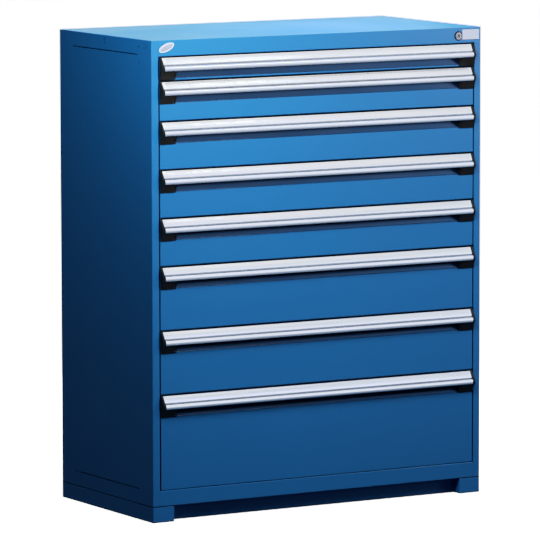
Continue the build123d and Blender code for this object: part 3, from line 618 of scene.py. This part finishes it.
def pull_seal_and_gap_shade(n):
    """Rubber seal along the pull's upper edge; its black also stands in for the shade of the gap above the
    pull.
    """
    work = bmesh.new()
    seal = [
        (0.0, 0.0), (SEAL_REACH - SEAL_BACK, SEAL_DROP - SEAL_UP),
        (SEAL_REACH - SEAL_FOOT_BACK, SEAL_DROP), (0.0, SEAL_DROP),
    ]
    run(work, n, seal, metal_end(n, -1), metal_end(n, 1))
    # Black seal: partly the shade of the gap above the pull, painted in black
    piece(f"drawer_{n}_pull_seal_and_gap_shade", work, RUBBER, f"drawer_{n}")


def label_strip(n):
    """Blank label film on the pull's slope."""
    slope = Vector(SLOPE_FOOT).normalized()
    out = Vector((slope.y, -slope.x))
    edge = [(along, share * FILM_THICKNESS) for along, share in FILM_EDGE]
    upper = [(FILM_FROM + along, lift) for along, lift in edge]
    lower = [(FILM_TO - along, lift) for along, lift in reversed(edge)]
    film = [tuple(slope * along + out * lift) for along, lift in upper + lower]
    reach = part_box(f"drawer_{n}_pull")[1].x - FILM_INSET * MM
    work = bmesh.new()
    run(work, n, film, -reach, reach)
    return piece(f"drawer_{n}_label_strip", work, FILM, f"drawer_{n}")


def block_edge(n):
    """How far from the middle the black blocks under a pull begin."""
    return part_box(f"drawer_{n}_pull_ends")[1].x - BLOCK_WIDTH * MM


def leg_facing(n):
    """Slate facing of the pull's back leg, from block to block, partly painted shade under the lip."""
    face = LEG_FRONT + FACING_THICKNESS
    facing = [
        (LEG_FRONT, FACING_TOP), (face, FACING_TOP + FACING_TOP_BEVEL),
        (face, FACING_FOOT - FACING_FOOT_BEVEL), (LEG_FRONT, FACING_FOOT),
    ]
    work = bmesh.new()
    run(work, n, facing, -block_edge(n), block_edge(n))
    return piece(f"drawer_{n}_leg_facing", work, SLATE_AND_LIP_SHADE, f"drawer_{n}")


def pull_end_flanks(n):
    """Black tapered flanks on the inner faces of the blocks."""
    work = bmesh.new()
    edge = block_edge(n)
    for side in (-1, 1):
        run(work, n, FLANK, side * edge, side * (edge - FLANK_THICKNESS * MM))
    piece(f"drawer_{n}_pull_end_flanks", work, PLASTIC, f"drawer_{n}")


def badge():
    """Blank oval badge: a raised rim and a domed field."""
    centre = (BADGE_FROM_SIDE - SIDE, TOP - BADGE_BELOW_TOP)
    parts = (("badge_rim", BADGE_RIM, RIM_RINGS), ("badge_field", BADGE_FIELD, FIELD_RINGS))
    for name, made, rings in parts:
        work = bmesh.new()
        loft(work, [oval(width, height, BADGE_TILT, centre, FRONT - lift) for width, height, lift in rings])
        piece(name, work, made, "housing", crease=60)


def header_plate(name, place, back, proud, made):
    """A thin plate on the header, from its place and how far its two faces stand out."""
    from_side, below_top, width, height = place
    right, top = SIDE - from_side, TOP - below_top
    work = bmesh.new()
    low, high = (right - width, FRONT - back, top - height), (right, FRONT - proud, top)
    rounded_box(work, low, high, PLATE_CORNER)
    piece(name, work, made, "housing")


def lock_trim():
    """Rubber collar round the lock, partly a painted shadow ring, and the dark shutter in the keyway, partly
    painted shade of the keyhole.
    """
    low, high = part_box("lock_body")
    x, z = (low.x + high.x) / 2, (low.z + high.z) / 2
    edge = high.x - x
    work = bmesh.new()
    # Black collar: partly a painted shadow ring round the lock
    rings = [oval(edge + out, edge + out, 0.0, (x, z), FRONT - lift) for out, lift in COLLAR]
    loft(work, rings, closed=True)
    piece("lock_collar_shadow_ring", work, RUBBER, "housing", crease=60)
    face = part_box("lock_plug")[0].y
    # Black shutter: partly painted shade inside the keyhole
    work = bmesh.new()
    rounded_box(
        work,
        (x - SHUTTER_HALF_WIDTH, face + SHUTTER_SUNK, z - SHUTTER_HALF_HEIGHT),
        (x + SHUTTER_HALF_WIDTH, face - SHUTTER_PROUD, z + SHUTTER_HALF_HEIGHT),
        SHUTTER_CORNER,
    )
    piece("keyway_shutter_shade", work, RUBBER, "lock_core")


def front_welds():
    """Ground welds that close the seams between the posts and the header and sill."""
    work = bmesh.new()
    sill = (BASE_TOP + WELD_FROM_EDGE, SILL_TOP - WELD_FROM_OPENING)
    header = (HEADER_BOTTOM + WELD_FROM_OPENING, TOP - WELD_FROM_EDGE)
    for side in (-1, 1):
        left, right = side * POST_EDGE - WELD_HALF_WIDTH, side * POST_EDGE + WELD_HALF_WIDTH
        for bottom, top in (sill, header):
            low, high = (left, FRONT + WELD_BACK, bottom), (right, FRONT + WELD_FACE, top)
            rounded_box(work, low, high, WELD_CORNER)
    piece("front_welds", work, PAINT, "housing")


def bead_ring(place, outward):
    """The bead's three-cornered section at a place on the seam, pointing inwards."""
    corners = ((BEAD_INSET, BEAD_HALF_HEIGHT), (BEAD_INSET, -BEAD_HALF_HEIGHT), (BEAD_DEPTH, 0.0))
    return [tuple(Vector(place) - outward * sunk + Vector((0, 0, up))) for sunk, up in corners]


def seam_shade_bead():
    """Dark bead in the seam between the housing and its base, in the groove of their chamfers; its black
    also stands in for the seam's shade.
    """
    back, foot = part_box("base_left_rail")[1].y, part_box("base_right_rail")[0].x
    side_run, front_run = (FRONT + BEAD_INSET, back - BEAD_INSET), (foot, SIDE - BEAD_INSET)
    forward, backward = Vector((0, -1, 0)), Vector((0, 1, 0))
    work = bmesh.new()
    for side in (-1, 1):
        loft(work, [bead_ring((side * SIDE, y, BASE_TOP), Vector((side, 0, 0))) for y in side_run])
        loft(work, [bead_ring((side * x, FRONT, BASE_TOP), forward) for x in front_run])
    loft(work, [bead_ring((x, back, BASE_TOP), backward) for x in (BEAD_INSET - SIDE, SIDE - BEAD_INSET)])
    # Black bead: partly painted shade of the seam
    piece("seam_shade_bead", work, RUBBER, "housing")


def carriage(n):
    """Roller carriage: rounded plates, and turned rollers on riveted axles."""
    low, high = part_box(f"carriage_{n}")
    y_middle, z = (low.y + high.y) / 2, (low.z + high.z) / 2
    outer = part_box("right_fixed_rails")[0].x - SLIDE_GAP
    inner = outer - CARRIAGE_THICKNESS
    # The face that carries a roller, the way it points, the other face, and the rollers' places along Y
    rows = (
        (outer, 1, inner, (y_middle + ROLLER_STEP, high.y - ROLLER_STEP)),
        (inner, -1, outer, (low.y + ROLLER_STEP, y_middle - ROLLER_STEP)),
    )
    plates, rollers = bmesh.new(), bmesh.new()
    for side in (-1, 1):
        near, far = (side * inner, low.y, low.z), (side * outer, high.y, high.z)
        rounded_box(plates, near, far, CARRIAGE_CORNER, axis=0)
        for face, out, back, places in rows:
            for y in places:
                turned(rollers, (y, z), [(side * (face + out * x), radius) for x, radius in ROLLER])
                head = [(side * (back - out * x), radius) for x, radius in RIVET]
                turned(plates, (y, z), head, RIVET_SIDES)
    plate = piece(f"carriage_{n}_plates", plates, ZINC, f"carriage_{n}", crease=40)
    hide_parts(f"carriage_{n}")
    piece(f"carriage_{n}_rollers", rollers, NICKEL, f"carriage_{n}", crease=40)


def studio_floor():
    """Pale floor that only the camera sees."""
    mesh = bpy.data.meshes.new("floor")
    work = bmesh.new()
    bmesh.ops.create_grid(work, x_segments=2, y_segments=2, size=FLOOR_HALF)
    work.to_mesh(mesh)
    work.free()
    floor = bpy.data.objects.new("floor", mesh)
    scene.collection.objects.link(floor)
    made, tree, shader = material("pale_floor", (0.85, 0.85, 0.85), roughness=0.9, specular=0.0)
    tree.links.new(ramp(tree, noise(tree, 30.0), 0.3, 0.7, 0.88, 0.94), shader.inputs["Roughness"])
    shader.inputs["Emission Color"].default_value = (*WHITE, 1)
    shader.inputs["Emission Strength"].default_value = BACKGROUND
    mesh.materials.append(made)
    floor.visible_diffuse = False
    floor.visible_glossy = False
    floor.visible_shadow = False


def surroundings():
    """White surroundings for the camera, and dim blue ones in reflections and in the air."""
    world = bpy.data.worlds.new("studio")
    scene.world = world
    world.use_nodes = True
    tree = world.node_tree
    tree.nodes.clear()
    seen = add(tree, "ShaderNodeBackground", Color=(*WHITE, 1), Strength=BACKGROUND)
    mirrored = add(tree, "ShaderNodeBackground", Color=(0.16, 0.45, 1.0, 1), Strength=MIRRORED)
    ambient = add(tree, "ShaderNodeBackground", Color=(0.55, 0.75, 1.0, 1), Strength=AMBIENT)
    path = add(tree, "ShaderNodeLightPath")
    glossy = add(tree, "ShaderNodeMixShader")
    mix = add(tree, "ShaderNodeMixShader")
    out = add(tree, "ShaderNodeOutputWorld")
    tree.links.new(path.outputs["Is Glossy Ray"], glossy.inputs[0])
    tree.links.new(ambient.outputs[0], glossy.inputs[1])
    tree.links.new(mirrored.outputs[0], glossy.inputs[2])
    tree.links.new(path.outputs["Is Camera Ray"], mix.inputs[0])
    tree.links.new(glossy.outputs[0], mix.inputs[1])
    tree.links.new(seen.outputs[0], mix.inputs[2])
    tree.links.new(mix.outputs[0], out.inputs[0])


def panel_light(name, place, target, size, radiance, color):
    """A rectangular studio light of a given brightness that faces a point and isn't seen itself."""
    data = bpy.data.lights.new(name, "AREA")
    data.shape = "RECTANGLE"
    data.size, data.size_y = size
    data.energy = radiance * math.pi * size[0] * size[1]
    data.color = color
    lamp = bpy.data.objects.new(name, data)
    scene.collection.objects.link(lamp)
    lamp.location = place
    lamp.rotation_mode = "QUATERNION"
    lamp.rotation_quaternion = (Vector(target) - Vector(place)).to_track_quat("-Z", "Y")
    lamp.visible_camera = False
    lamp.visible_glossy = name not in MATT_LIGHTS
    return lamp


def lights(pull_pieces, leg_pieces):
    """Soft lights for the cabinet, and lights of their own for the bright pulls and their back legs."""
    pulls = bpy.data.collections.new("pulls")
    legs = bpy.data.collections.new("pull_legs")
    others = bpy.data.collections.new("all_but_pulls")
    for group, members in ((pulls, pull_pieces), (legs, leg_pieces)):
        for member in members:
            group.objects.link(member)
            others.objects.link(member)
    for member in others.collection_objects:
        member.light_linking.link_state = "EXCLUDE"
    for rows, receivers in ((CABINET_LIGHTS, others), (LEG_LIGHTS, legs), (PULL_LIGHTS, pulls)):
        for row in rows:
            panel_light(*row).light_linking.receiver_collection = receivers


def tones():
    """The display's soft shoulder: bright values roll off towards white, each colour by itself."""
    settings = scene.view_settings
    settings.view_transform = "Standard"
    settings.use_curve_mapping = True
    mapping = settings.curve_mapping
    mapping.clip_max_x = mapping.clip_max_y = BACKGROUND
    # The last of the four curves acts on all three colours alike
    curve = mapping.curves[3]
    knots = [(x, x / (1 + (x / SHOULDER) ** SHARPNESS) ** (1 / SHARPNESS)) for x in CURVE_SAMPLES]
    knots.append((BACKGROUND, 1.0))
    while len(curve.points) < len(knots):
        curve.points.new(0.5, 0.5)
    for point, place in zip(curve.points, knots):
        point.location = place
        point.handle_type = "AUTO_CLAMPED"
    mapping.update()


camera()

PAINT, ALUMINIUM, ZINC, PLASTIC, NICKEL = powder_coat(), anodised(), zinc(), plastic(), nickel()
RUBBER, SLATE_AND_LIP_SHADE, FILM = rubber(), slate(), label_film()
PLATE_WHITE = enamel("blank_plate_enamel", (0.47, 0.55, 0.84), (0.53, 0.61, 0.90))
BADGE_RIM = enamel("badge_rim_enamel", (0.52, 0.65, 0.75), (0.58, 0.70, 0.80))
BADGE_FIELD = enamel("badge_field_enamel", (0.25, 0.29, 0.50), (0.30, 0.34, 0.54))
paint_nodes()

pull_pieces, leg_pieces = [], []
for n in DRAWERS:
    pull_pieces.append(pull_extrusion(n))
    pull_end_lips(n)
    pull_seal_and_gap_shade(n)
    pull_pieces.append(label_strip(n))
    leg_pieces.append(leg_facing(n))
    pull_end_flanks(n)
badge()
# The black backing shows below the plate as a painted shadow line
header_plate("plate_backing_shadow_line", BACKING_PLACE, 0.0, BACKING_PROUD, RUBBER)
header_plate("blank_plate", PLATE_PLACE, BACKING_PROUD, PLATE_PROUD, PLATE_WHITE)
lock_trim()
front_welds()
seam_shade_bead()
for n in DRAWERS:
    carriage(n)

studio_floor()
surroundings()
lights(pull_pieces, leg_pieces)
tones()
